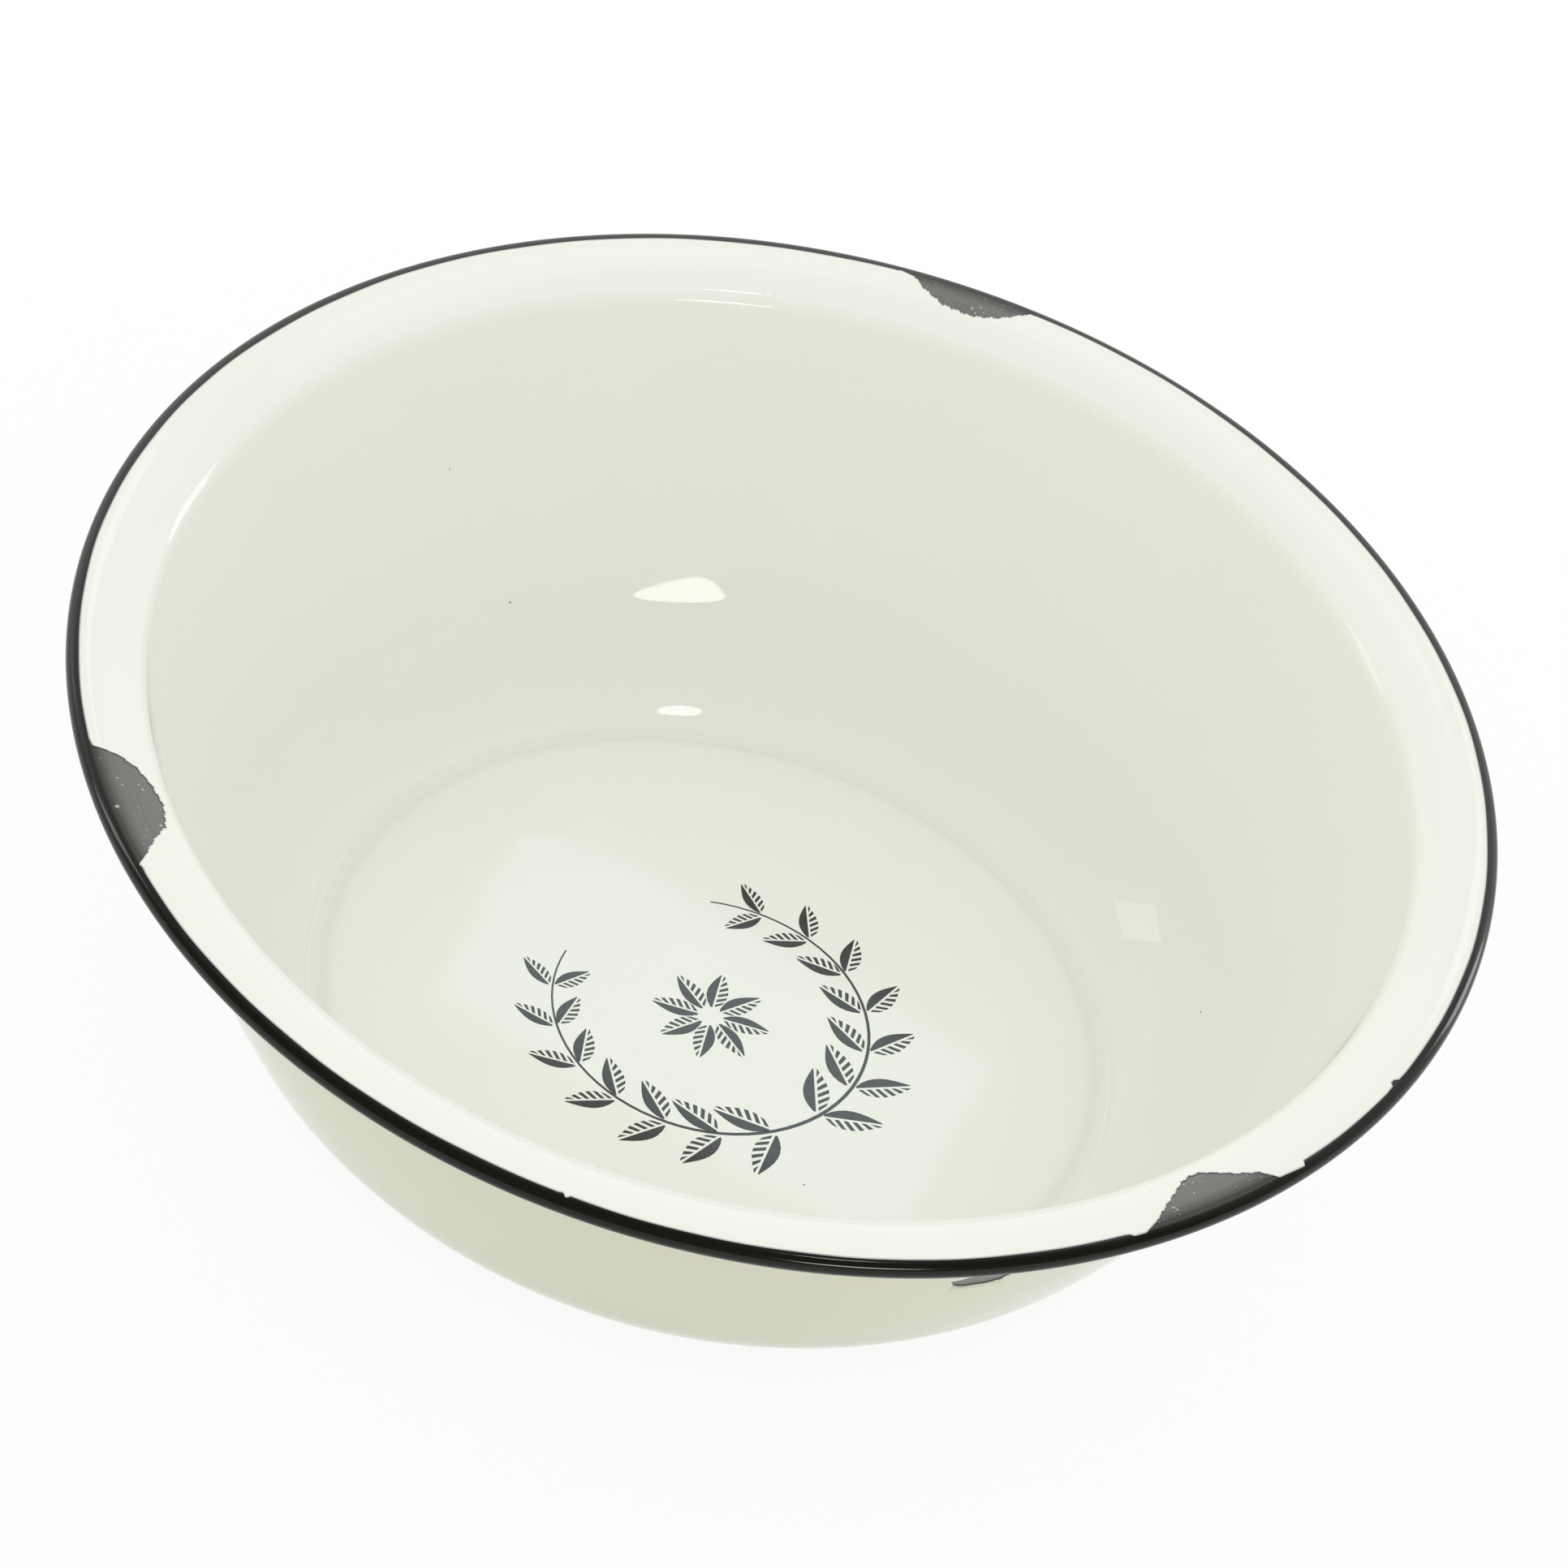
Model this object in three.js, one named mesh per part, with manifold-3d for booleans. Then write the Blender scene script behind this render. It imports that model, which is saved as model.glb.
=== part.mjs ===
// An enamelled wash basin: one pressed steel sheet with a rolled edge, a dark ground coat fired onto both
// faces, and a cream cover coat over that. The cream stops short of the bead, so the bead is dark, and it has
// chipped off the flange in three places and off the outer wall in one.
// Millimetres, +Z up. The origin is the centre of the ring that the basin stands on.

import * as THREE from 'three';
import { mergeVertices } from 'three/addons/utils/BufferGeometryUtils.js';
import Module from 'manifold-3d';

const { degToRad } = THREE.MathUtils;

// Overall sizes
const RIM_DIAMETER = 380; // over the dark bead
const HEIGHT = 112; // from the standing plane to the top of the dark bead

// Sheet and coats
const SHEET = 0.7;
const GROUND_COAT = 0.12;
const COVER_COAT = 0.2;
const BOND = 0.05; // clearance between a coat and what it covers

// Base, measured on the upper face of the steel
const FLOOR_RADIUS = 103.8; // flat floor, to the start of its step
const FLOOR_RISE = 1.2; // height of the floor above the standing ring
const STEP_BEND = 1.5; // the two bends of the step
const STAND_WIDTH = 2.3; // flat width of the standing ring
const FOOT_BEND = 6; // from the standing ring into the wall
const FOOT_TURN = degToRad(27.6); // steepness of the wall where that bend ends

// Wall and rim, measured on the upper face of the steel
const LOWER_BEND = 65; // hollow curve of the lower wall
const UPPER_BEND = 300; // flatter hollow curve of the upper wall
const CREST_BEND = 6; // tight outward roll from the wall onto the flange
const CREST_SLOPE = degToRad(29); // steepness of the flange where that roll ends
const FLANGE_BEND = 29; // the flange arches up towards the bead
const FLANGE_SLOPE = degToRad(4.5); // steepness of its straight outer part
const FLANGE_REACH = 4; // from the start of that part to the middle of the bead
const BEAD_RADIUS = 3; // outside of the rolled edge
const SEAM_GAP = 0.3; // between the end of the curl and the coat on the flange above it
const COVER_MARGIN = 0.5; // the inside cream stops this far short of the bead

// Chips in the cream: on the flange each is a bite from the rim, on the outer wall a patch
const FLANGE_CHIPS = [
  { azimuth: degToRad(210), width: 42, depth: 17.7 },
  { azimuth: degToRad(317), width: 38, depth: 15.2 },
  { azimuth: degToRad(85), width: 36, depth: 12 },
];
const WALL_CHIP = { azimuth: degToRad(302), width: 16, height: 7, drop: 40 };
const CHIP_RAGGED = 0.07; // unevenness of a chip's edge, as a share of its size
const CHIP_LOBES = [5, 9]; // waves round a chip's edge

// Facets
const TURN_STEPS = 40; // round the basin
const CHIP_STEPS = 26; // round a chip
const STEP_STEPS = 1;
const FOOT_STEPS = 1;
const LOWER_STEPS = 3;
const UPPER_STEPS = 3;
const CREST_STEPS = 3;
const FLANGE_STEPS = 3;
const BEAD_STEPS = 9;

// Distances from the steel to the faces of the coats
const groundFace = BOND + GROUND_COAT;
const coverBack = groundFace + BOND;
const coverFace = coverBack + COVER_COAT;

const rimRadius = RIM_DIAMETER / 2;
const standHeight = coverFace + SHEET; // upper face of the steel over the standing ring

// The section is drawn in a half plane, x the radius and y the height. Each bend is an arc of the steel's
// upper face, with its turning angle from start to end. On a hollow bend the centre is on the upper side.
const fromAngle = (angle) => new THREE.Vector2(Math.cos(angle), Math.sin(angle));

const stepTurn = Math.acos(1 - FLOOR_RISE / (2 * STEP_BEND));
const stepEnd = FLOOR_RADIUS + 2 * STEP_BEND * Math.sin(stepTurn);
const standRadius = stepEnd + STAND_WIDTH;

const beadCentre = new THREE.Vector2(
  rimRadius - groundFace - BEAD_RADIUS,
  HEIGHT - groundFace - BEAD_RADIUS,
);
const flangeAlong = fromAngle(FLANGE_SLOPE);
const flangeUp = fromAngle(FLANGE_SLOPE + Math.PI / 2);
const rollStart = beadCentre.clone().addScaledVector(flangeUp, BEAD_RADIUS);
const flangeLength = (rollStart.x - beadCentre.x + FLANGE_REACH) / flangeAlong.x;
const flangeEnd = rollStart.clone().addScaledVector(flangeAlong, -flangeLength);
const flangeCentre = flangeEnd.clone().addScaledVector(flangeUp, -FLANGE_BEND);
const crestAngle = CREST_SLOPE + Math.PI / 2;
const crestCentre = flangeCentre.clone().addScaledVector(fromAngle(crestAngle), FLANGE_BEND - CREST_BEND);
const footCentre = new THREE.Vector2(standRadius, standHeight + FOOT_BEND);
const footEndAngle = FOOT_TURN - Math.PI / 2;
const lowerCentre = footCentre.clone().addScaledVector(fromAngle(footEndAngle), FOOT_BEND - LOWER_BEND);

// Centre of the upper wall's curve, which touches the lower one and the crest: it lies at a known distance
// from the centre of each, on the side of the axis.
function touchingCentre(first, firstDistance, second, secondDistance) {
  const between = second.clone().sub(first);
  const span = between.length();
  const along = (firstDistance ** 2 - secondDistance ** 2 + span ** 2) / (2 * span);
  const across = Math.sqrt(firstDistance ** 2 - along ** 2);
  const unit = between.divideScalar(span);
  const side = new THREE.Vector2(-unit.y, unit.x);
  return first.clone().addScaledVector(unit, along).addScaledVector(side, across);
}
const upperCentre = touchingCentre(
  lowerCentre,
  UPPER_BEND - LOWER_BEND,
  crestCentre,
  UPPER_BEND + CREST_BEND,
);
const lowerEndAngle = lowerCentre.clone().sub(upperCentre).angle() - 2 * Math.PI;
const crestStartAngle = upperCentre.clone().sub(crestCentre).angle();
const upperEndAngle = crestStartAngle - Math.PI;
const rollAngle = FLANGE_SLOPE + Math.PI / 2;

// The curl turns until its coated end lies SEAM_GAP under the coat on the flange's underside.
const seamLevel = BEAD_RADIUS - SHEET - coverFace - SEAM_GAP;
const curlTurn = 2 * Math.PI - Math.acos(seamLevel / (BEAD_RADIUS + groundFace));

// Points of one bend, `lift` above the steel's upper face.
function bend(centre, radius, start, end, steps, hollow, lift) {
  const lifted = hollow ? radius - lift : radius + lift;
  return Array.from({ length: steps + 1 }, (_, i) => {
    const angle = start + ((end - start) * i) / steps;
    return fromAngle(angle).multiplyScalar(lifted).add(centre);
  });
}

// The floor, step, standing ring, wall, crest and arched flange, from the axis outwards.
function bowlLine(lift) {
  const up = Math.PI / 2;
  const floorCentre = new THREE.Vector2(FLOOR_RADIUS, standHeight + FLOOR_RISE - STEP_BEND);
  const stepCentre = new THREE.Vector2(stepEnd, standHeight + STEP_BEND);
  const edge = bend(floorCentre, STEP_BEND, up, up - stepTurn, STEP_STEPS, false, lift);
  const step = bend(stepCentre, STEP_BEND, -up - stepTurn, -up, STEP_STEPS, true, lift);
  const foot = bend(footCentre, FOOT_BEND, -up, footEndAngle, FOOT_STEPS, true, lift);
  const lower = bend(lowerCentre, LOWER_BEND, footEndAngle, lowerEndAngle, LOWER_STEPS, true, lift);
  const upper = bend(upperCentre, UPPER_BEND, lowerEndAngle, upperEndAngle, UPPER_STEPS, true, lift);
  const crest = bend(crestCentre, CREST_BEND, crestStartAngle, crestAngle, CREST_STEPS, false, lift);
  const flange = bend(flangeCentre, FLANGE_BEND, crestAngle, rollAngle, FLANGE_STEPS, false, lift);
  return [
    new THREE.Vector2(0, edge[0].y),
    ...edge,
    ...step.slice(1),
    ...foot,
    ...lower.slice(1),
    ...upper.slice(1),
    ...crest.slice(1),
    ...flange.slice(1),
  ];
}

// The bowl and the whole flange, up to a distance short of the bead.
function flangedLine(lift, margin) {
  const end = rollStart.clone().addScaledVector(flangeAlong, -margin).addScaledVector(flangeUp, lift);
  return [...bowlLine(lift), end];
}

// The bowl, the flange and the whole curl.
function curledLine(lift) {
  const curl = bend(beadCentre, BEAD_RADIUS, rollAngle, rollAngle - curlTurn, BEAD_STEPS, false, lift);
  return [...bowlLine(lift), ...curl];
}

// A shell of revolution between its under line and its upper line.
function revolved(underLine, upperLine) {
  const section = [...underLine, ...upperLine.toReversed()];
  return new THREE.LatheGeometry(section, TURN_STEPS).rotateX(Math.PI / 2);
}

// Cutting: each solid is a closed mesh with shared corners and no empty triangles.
const wasm = await Module();
wasm.setup();

function toSolid(geometry) {
  const bare = geometry.clone();
  bare.deleteAttribute('normal');
  bare.deleteAttribute('uv');
  const merged = mergeVertices(bare);
  const corners = merged.index.array;
  const triangles = [];
  for (let i = 0; i < corners.length; i += 3) {
    const [a, b, c] = corners.slice(i, i + 3);
    if (a !== b && b !== c && c !== a) triangles.push(a, b, c);
  }
  return new wasm.Manifold(
    new wasm.Mesh({
      numProp: 3,
      vertProperties: Float32Array.from(merged.attributes.position.array),
      triVerts: Uint32Array.from(triangles),
    }),
  );
}

function toGeometry(solid) {
  const mesh = solid.getMesh();
  const geometry = new THREE.BufferGeometry();
  geometry.setAttribute('position', new THREE.BufferAttribute(mesh.vertProperties, 3));
  geometry.setIndex(new THREE.BufferAttribute(mesh.triVerts, 1));
  geometry.computeVertexNormals();
  return geometry;
}

function cut(geometry, cutters) {
  const left = cutters.reduce((solid, cutter) => solid.subtract(toSolid(cutter)), toSolid(geometry));
  return toGeometry(left);
}

// A ragged oval prism, standing on the plane of its two half sizes.
function raggedPrism(halfX, halfY, length) {
  const points = Array.from({ length: CHIP_STEPS }, (_, i) => {
    const angle = (2 * Math.PI * i) / CHIP_STEPS;
    const waves = CHIP_LOBES.reduce((sum, lobes) => sum + Math.sin(lobes * angle), 0);
    const share = 1 + (CHIP_RAGGED * waves) / CHIP_LOBES.length;
    return new THREE.Vector2(halfX * share * Math.cos(angle), halfY * share * Math.sin(angle));
  });
  return new THREE.ExtrudeGeometry(new THREE.Shape(points), { depth: length, bevelEnabled: false });
}

// A bite from the rim, straight down through the cream on the flange.
function flangeChip({ azimuth, width, depth }) {
  const height = FLANGE_BEND;
  return raggedPrism(depth, width / 2, height)
    .translate(rimRadius, 0, beadCentre.y - height / 2)
    .rotateZ(azimuth);
}

// A patch on the outer wall, straight in towards the axis.
function wallChip({ azimuth, width, height, drop }) {
  return raggedPrism(height / 2, width / 2, rimRadius - standRadius)
    .rotateY(-Math.PI / 2)
    .translate(rimRadius, 0, beadCentre.y - drop)
    .rotateZ(azimuth);
}

// Materials
const enamel = (name, color) =>
  new THREE.MeshStandardMaterial({ name, color, roughness: 0.12, metalness: 0 });
const creamEnamel = '#ecede0';
const darkEnamel = '#2a2722';
const steel = new THREE.MeshStandardMaterial({
  name: 'sheet_steel',
  color: '#8d8f92',
  roughness: 0.45,
  metalness: 1,
});

// Pieces
const basin = new THREE.Group();
basin.name = 'wash_basin';

function addPiece(name, geometry, material) {
  const piece = new THREE.Mesh(geometry, material);
  piece.name = name;
  basin.add(piece);
}

// The outside coats run up to the seam, right above the end of the curl.
const seamMargin = (rollStart.x - (beadCentre.x - BEAD_RADIUS)) / flangeAlong.x;
const underside = (lift) => flangedLine(-SHEET - lift, seamMargin);
const upperSide = (lift) => flangedLine(lift, COVER_MARGIN);

addPiece('steel_pressing', revolved(curledLine(-SHEET), curledLine(0)), steel);
addPiece(
  'ground_coat_inside',
  revolved(curledLine(BOND), curledLine(groundFace)),
  enamel('dark_enamel_inside', darkEnamel),
);
addPiece(
  'ground_coat_outside',
  revolved(underside(groundFace), underside(BOND)),
  enamel('dark_enamel_outside', darkEnamel),
);
addPiece(
  'cover_coat_inside',
  cut(revolved(upperSide(coverBack), upperSide(coverFace)), FLANGE_CHIPS.map(flangeChip)),
  enamel('cream_enamel_inside', creamEnamel),
);
addPiece(
  'cover_coat_outside',
  cut(revolved(underside(coverFace), underside(coverBack)), [wallChip(WALL_CHIP)]),
  enamel('cream_enamel_outside', creamEnamel),
);

export default basin;
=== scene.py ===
# %% [markdown]
# # An enamelled wash basin
# The basin is one pressed sheet of steel with glass fired onto it: a dark ground coat on both
# faces, then a cream cover coat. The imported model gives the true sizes, as a fixed frame with
# facets. This lesson turns every coat again as a smooth skin in that frame, and then adds what only
# the eye needs: gloss, wear and the fired print.

# %% Load the frame
import math

import bpy
import numpy as np
from mathutils import Matrix, Vector


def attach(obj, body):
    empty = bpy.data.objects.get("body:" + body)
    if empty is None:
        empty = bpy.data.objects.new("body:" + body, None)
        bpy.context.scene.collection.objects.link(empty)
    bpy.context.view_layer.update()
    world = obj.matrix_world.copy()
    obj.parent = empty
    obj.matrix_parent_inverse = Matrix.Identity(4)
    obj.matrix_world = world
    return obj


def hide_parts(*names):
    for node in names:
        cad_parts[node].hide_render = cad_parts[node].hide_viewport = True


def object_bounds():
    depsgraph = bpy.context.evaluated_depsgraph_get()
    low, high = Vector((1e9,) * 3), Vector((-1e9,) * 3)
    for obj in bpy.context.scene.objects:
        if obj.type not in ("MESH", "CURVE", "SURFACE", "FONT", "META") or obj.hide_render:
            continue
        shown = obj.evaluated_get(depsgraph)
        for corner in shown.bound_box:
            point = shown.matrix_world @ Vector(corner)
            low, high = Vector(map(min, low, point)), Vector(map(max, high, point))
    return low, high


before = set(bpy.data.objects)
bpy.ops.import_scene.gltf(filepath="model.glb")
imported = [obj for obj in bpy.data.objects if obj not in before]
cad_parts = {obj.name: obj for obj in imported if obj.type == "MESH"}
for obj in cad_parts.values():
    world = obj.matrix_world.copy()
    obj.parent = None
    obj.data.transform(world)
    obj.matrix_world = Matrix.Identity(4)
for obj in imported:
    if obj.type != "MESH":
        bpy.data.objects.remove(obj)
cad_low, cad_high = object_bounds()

MM = 0.001
print("nodes:", sorted(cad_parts))
print("box in mm:", [round(size / MM, 2) for size in cad_high - cad_low])

# %% [markdown]
# ## The section
# Cut the basin in half and every coat is the same line, shifted by its distance from the steel. So
# the line of the steel's upper face is drawn once, as bends that touch each other. It could be
# traced by eye as one long curve, but a bend with a radius can be measured and changed by itself.
# Each point of the line also keeps the direction that leads away from the steel. A coat is then
# that line, lifted along those directions.

# %% Sizes of the sheet, the coats and the bends
SHEET = 0.7 * MM
GROUND_COAT = 0.12 * MM
COVER_COAT = 0.2 * MM
BOND = 0.05 * MM  # between a coat and what it covers
rim_radius = cad_high.x
height = cad_high.z - BOND - COVER_COAT  # of the dark bead; the cream beside it stands a little higher
FLOOR_RADIUS = 101.2 * MM  # of the flat part
FLOOR_RISE = 1.2 * MM
STEP_BEND = 8 * MM  # much softer than in the frame, as glaze fills corners
STAND_WIDTH = 1.25 * MM
FOOT_BEND = 6 * MM
FOOT_TURN = math.radians(27.6)
LOWER_BEND = 65 * MM
UPPER_BEND = 300 * MM
CREST_BEND = 6 * MM
CREST_SLOPE = math.radians(29)
FLANGE_BEND = 32 * MM  # right up to the bead, where the frame has a short straight part
BEAD_RADIUS = 3 * MM
SEAM_GAP = 0.3 * MM

ground_face = BOND + GROUND_COAT
cover_back = ground_face + BOND
cover_face = cover_back + COVER_COAT
stand_height = cover_face + SHEET


def heading(angle):
    return np.array([math.cos(angle), math.sin(angle)])


step_turn = math.acos(1 - FLOOR_RISE / (2 * STEP_BEND))
step_end = FLOOR_RADIUS + 2 * STEP_BEND * math.sin(step_turn)
stand_radius = step_end + STAND_WIDTH
floor_height = stand_height + FLOOR_RISE
bead_centre = np.array([rim_radius, height]) - (ground_face + BEAD_RADIUS)
flange_centre = bead_centre - [0, FLANGE_BEND - BEAD_RADIUS]
crest_angle = CREST_SLOPE + math.pi / 2
crest_centre = flange_centre + (FLANGE_BEND - CREST_BEND) * heading(crest_angle)
foot_centre = np.array([stand_radius, stand_height + FOOT_BEND])
foot_end = FOOT_TURN - math.pi / 2
lower_centre = foot_centre - (LOWER_BEND - FOOT_BEND) * heading(foot_end)
print("standing ring radius in mm:", round(stand_radius / MM, 2))

# %% The bend of the upper wall, which touches the lower wall and the crest
to_lower = UPPER_BEND - LOWER_BEND
to_crest = UPPER_BEND + CREST_BEND
between = crest_centre - lower_centre
span = np.hypot(*between)
along_span = (to_lower**2 - to_crest**2 + span**2) / (2 * span)
across_span = math.sqrt(to_lower**2 - along_span**2)
unit = between / span
upper_centre = lower_centre + along_span * unit + across_span * np.array([-unit[1], unit[0]])


def angle_of(vector):
    return math.atan2(vector[1], vector[0])


lower_end = angle_of(lower_centre - upper_centre)
upper_end = angle_of(crest_centre - upper_centre)
crest_start = upper_end + math.pi
seam_level = BEAD_RADIUS - SHEET - cover_face - SEAM_GAP
curl_turn = 2 * math.pi - math.acos(seam_level / (BEAD_RADIUS + ground_face))
print("wall stands at", round(90 + math.degrees(upper_end), 1), "degrees at its top")

# %% Draw the line of the steel
UP = math.pi / 2
# Each bend: centre, radius, first and last angle, side of the way up (1 away from the centre), steps
BENDS = [
    (np.array([FLOOR_RADIUS, floor_height - STEP_BEND]), STEP_BEND, UP, UP - step_turn, 1, 8),
    (np.array([step_end, stand_height + STEP_BEND]), STEP_BEND, -UP - step_turn, -UP, -1, 8),
    (foot_centre, FOOT_BEND, -UP, foot_end, -1, 6),
    (lower_centre, LOWER_BEND, foot_end, lower_end, -1, 16),
    (upper_centre, UPPER_BEND, lower_end, upper_end, -1, 16),
    (crest_centre, CREST_BEND, crest_start, crest_angle, 1, 14),
    (flange_centre, FLANGE_BEND, crest_angle, UP, 1, 18),
    (bead_centre, BEAD_RADIUS, UP, UP - curl_turn, 1, 36),
]
FINER = 4  # points of the line for each row of a coat

line_points = [np.array([0, floor_height])]
line_ups = [heading(UP)]
for centre, radius, first, last, side, steps in BENDS:
    for angle in np.linspace(first, last, FINER * steps + 1):
        line_points.append(centre + radius * heading(angle))
        line_ups.append(side * heading(angle))
line_points = np.array(line_points)
line_ups = np.array(line_ups)
pieces_of_line = np.hypot(*np.diff(line_points, axis=0).T)
line_along = np.concatenate([[0], np.cumsum(pieces_of_line)])

bend_ends = 1 + np.cumsum([FINER * bend[-1] + 1 for bend in BENDS])
flange_from = bend_ends[5]
roll_from = line_along[bend_ends[6]]
line_end = line_along[-1]
print("the line is", round(line_end / MM, 1), "mm long, with", len(line_points), "points")

# %% [markdown]
# ## Rolling a coat
# A lathe would do for a perfect basin, but the cream has a wavy edge with pieces broken out. So
# each coat is a flat grid that Geometry Nodes roll up. A column of the grid is one direction round
# the basin, and says how far the edge is shifted there. A row is one distance along the section,
# and says how much of that shift it follows and how far it is lifted from the steel. The rows run
# out along the upper face, round the edge and back along the lower face, so the rolled coat is a
# closed skin.

# %% Add nodes, and turn a finished tree into a plain mesh
WELD = 0.001 * MM  # points that are closer than this become one


def add_node(tree, kind, inputs=None, **settings):
    """Adds a node with its settings. An input is a value, or the socket that it comes from."""
    node = tree.nodes.new(kind)
    for name, value in settings.items():
        setattr(node, name, value)
    for key, value in (inputs or {}).items():
        if isinstance(value, bpy.types.NodeSocket):
            tree.links.new(value, node.inputs[key])
        else:
            node.inputs[key].default_value = value
    return node


def new_tree(name, sockets):
    """A Geometry Nodes tree with named inputs, and one geometry as its result."""
    tree = bpy.data.node_groups.new(name, "GeometryNodeTree")
    tree.interface.new_socket("Geometry", in_out="OUTPUT", socket_type="NodeSocketGeometry")
    for socket, kind in sockets.items():
        tree.interface.new_socket(socket, in_out="INPUT", socket_type=f"NodeSocket{kind}")
    return tree, tree.nodes.new("NodeGroupInput").outputs


def new_object(name, points, edges=(), faces=(), **attributes):
    mesh = bpy.data.meshes.new(name)
    mesh.from_pydata([tuple(point) for point in points], edges, faces)
    for attribute, values in attributes.items():
        kind = "FLOAT" if np.ndim(values) == 1 else "FLOAT_VECTOR"
        layer = mesh.attributes.new(attribute, kind, "POINT")
        layer.data.foreach_set("value" if kind == "FLOAT" else "vector", np.ravel(values))
    piece = bpy.data.objects.new(name, mesh)
    bpy.context.collection.objects.link(piece)
    return piece


def settle(piece):
    """Keeps what the modifiers made as a plain mesh."""
    graph = bpy.context.evaluated_depsgraph_get()
    made = bpy.data.meshes.new_from_object(
        piece.evaluated_get(graph), preserve_all_data_layers=True, depsgraph=graph
    )
    made.name = piece.name
    piece.modifiers.clear()
    piece.data = made


def grow(name, tree, values, helpers):
    """Runs a tree on an empty piece with these inputs, and removes the helper objects it read."""
    piece = new_object(name, [])
    modifier = piece.modifiers.new(tree.name, "NODES")
    modifier.node_group = tree
    for item in tree.interface.items_tree:
        if item.in_out == "INPUT":
            modifier[item.identifier] = values[item.name]
    settle(piece)
    for helper in helpers:
        bpy.data.objects.remove(helper)
    return piece


# %% The tree that rolls a coat
def rolled_coat_tree():
    tree, given = new_tree(
        "rolled_coat",
        {
            "Line": "Object",
            "Columns": "Object",
            "Rows": "Object",
            "Column count": "Int",
            "Row count": "Int",
            "Edge": "Float",
            "Finish": "Material",
        },
    )

    def add(kind, inputs=None, **settings):
        return add_node(tree, kind, inputs, **settings)

    grid = add(
        "GeometryNodeMeshGrid", {"Vertices X": given["Column count"], "Vertices Y": given["Row count"]}
    )
    index = add("GeometryNodeInputIndex").outputs[0]
    position = add("GeometryNodeInputPosition").outputs[0]
    parts = {}
    for source, operation in (("Columns", "DIVIDE_FLOOR"), ("Rows", "MODULO")):
        which = add("FunctionNodeIntegerMath", {0: index, 1: given["Row count"]}, operation=operation)
        helper = add("GeometryNodeObjectInfo", {"Object": given[source]})
        sample = add(
            "GeometryNodeSampleIndex",
            {"Geometry": helper.outputs["Geometry"], "Value": position, "Index": which.outputs[0]},
            data_type="FLOAT_VECTOR",
        )
        parts[source] = add("ShaderNodeSeparateXYZ", {0: sample.outputs[0]}).outputs
    turn, shift, _ = parts["Columns"]
    start, follow, lift = parts["Rows"]
    along = add("ShaderNodeMath", {0: shift, 1: follow, 2: start}, operation="MULTIPLY_ADD").outputs[0]

    line = add("GeometryNodeObjectInfo", {"Object": given["Line"]})
    curve = add("GeometryNodeMeshToCurve", {"Mesh": line.outputs["Geometry"]})
    ups = add("GeometryNodeInputNamedAttribute", {"Name": "up"}, data_type="FLOAT_VECTOR")
    sample = add(
        "GeometryNodeSampleCurve",
        {"Curves": curve.outputs[0], "Value": ups.outputs[0], "Length": along},
        mode="LENGTH",
        data_type="FLOAT_VECTOR",
    )
    lifted = add("ShaderNodeVectorMath", {0: sample.outputs["Value"], "Scale": lift}, operation="SCALE")
    place = add("ShaderNodeVectorMath", {0: sample.outputs["Position"], 1: lifted.outputs[0]})
    turned = add(
        "ShaderNodeVectorRotate", {"Vector": place.outputs[0], "Angle": turn}, rotation_type="Z_AXIS"
    )
    rolled = add("GeometryNodeSetPosition", {"Geometry": grid.outputs[0], "Position": turned.outputs[0]})

    round_way = add("ShaderNodeMath", {0: turn, 1: rim_radius}, operation="MULTIPLY")
    flat = add("ShaderNodeCombineXYZ", {"X": round_way.outputs[0], "Y": along})
    edge = add("ShaderNodeMath", {0: given["Edge"], 1: shift})
    gap = add("ShaderNodeMath", {0: edge.outputs[0], 1: along}, operation="SUBTRACT")
    mapped = add(
        "GeometryNodeStoreNamedAttribute",
        {"Geometry": rolled.outputs[0], "Name": "sheet", "Value": flat.outputs[0]},
        data_type="FLOAT_VECTOR",
        domain="POINT",
    )
    marked = add(
        "GeometryNodeStoreNamedAttribute",
        {"Geometry": mapped.outputs[0], "Name": "edge_gap", "Value": gap.outputs[0]},
        data_type="FLOAT",
        domain="POINT",
    )
    closed = add("GeometryNodeMergeByDistance", {"Geometry": marked.outputs[0], "Distance": WELD})
    outwards = add("GeometryNodeFlipFaces", {"Mesh": closed.outputs[0]})
    smooth = add("GeometryNodeSetShadeSmooth", {"Geometry": outwards.outputs[0]})
    real = add("GeometryNodeRealizeInstances", {"Geometry": smooth.outputs[0]})
    finished = add("GeometryNodeSetMaterial", {"Geometry": real.outputs[0], "Material": given["Finish"]})
    add("NodeGroupOutput", {"Geometry": finished.outputs[0]})
    return tree


rolled_coat = rolled_coat_tree()
print("rolled_coat has", len(rolled_coat.nodes), "nodes")

# %% Rows and columns of a coat
EDGE_STEPS = 6  # round the edge of a coat
FLAT_MARGIN = 2 * MM  # a row here keeps the floor's shading flat up to its edge
PLAIN_COLUMNS = 480
SHOWN = 1
HIDDEN = 2  # a face that another coat covers has every second row


def bend_rows(until):
    """Distances along the line at the rows of the bends, up to a limit."""
    rows = [0.0, FLOOR_RADIUS - FLAT_MARGIN]
    for bend, end in zip(BENDS, bend_ends):
        first = end - FINER * bend[-1] - 1
        rows.extend(line_along[first:end:FINER])
    return [along for along in rows if along < until]


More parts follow.
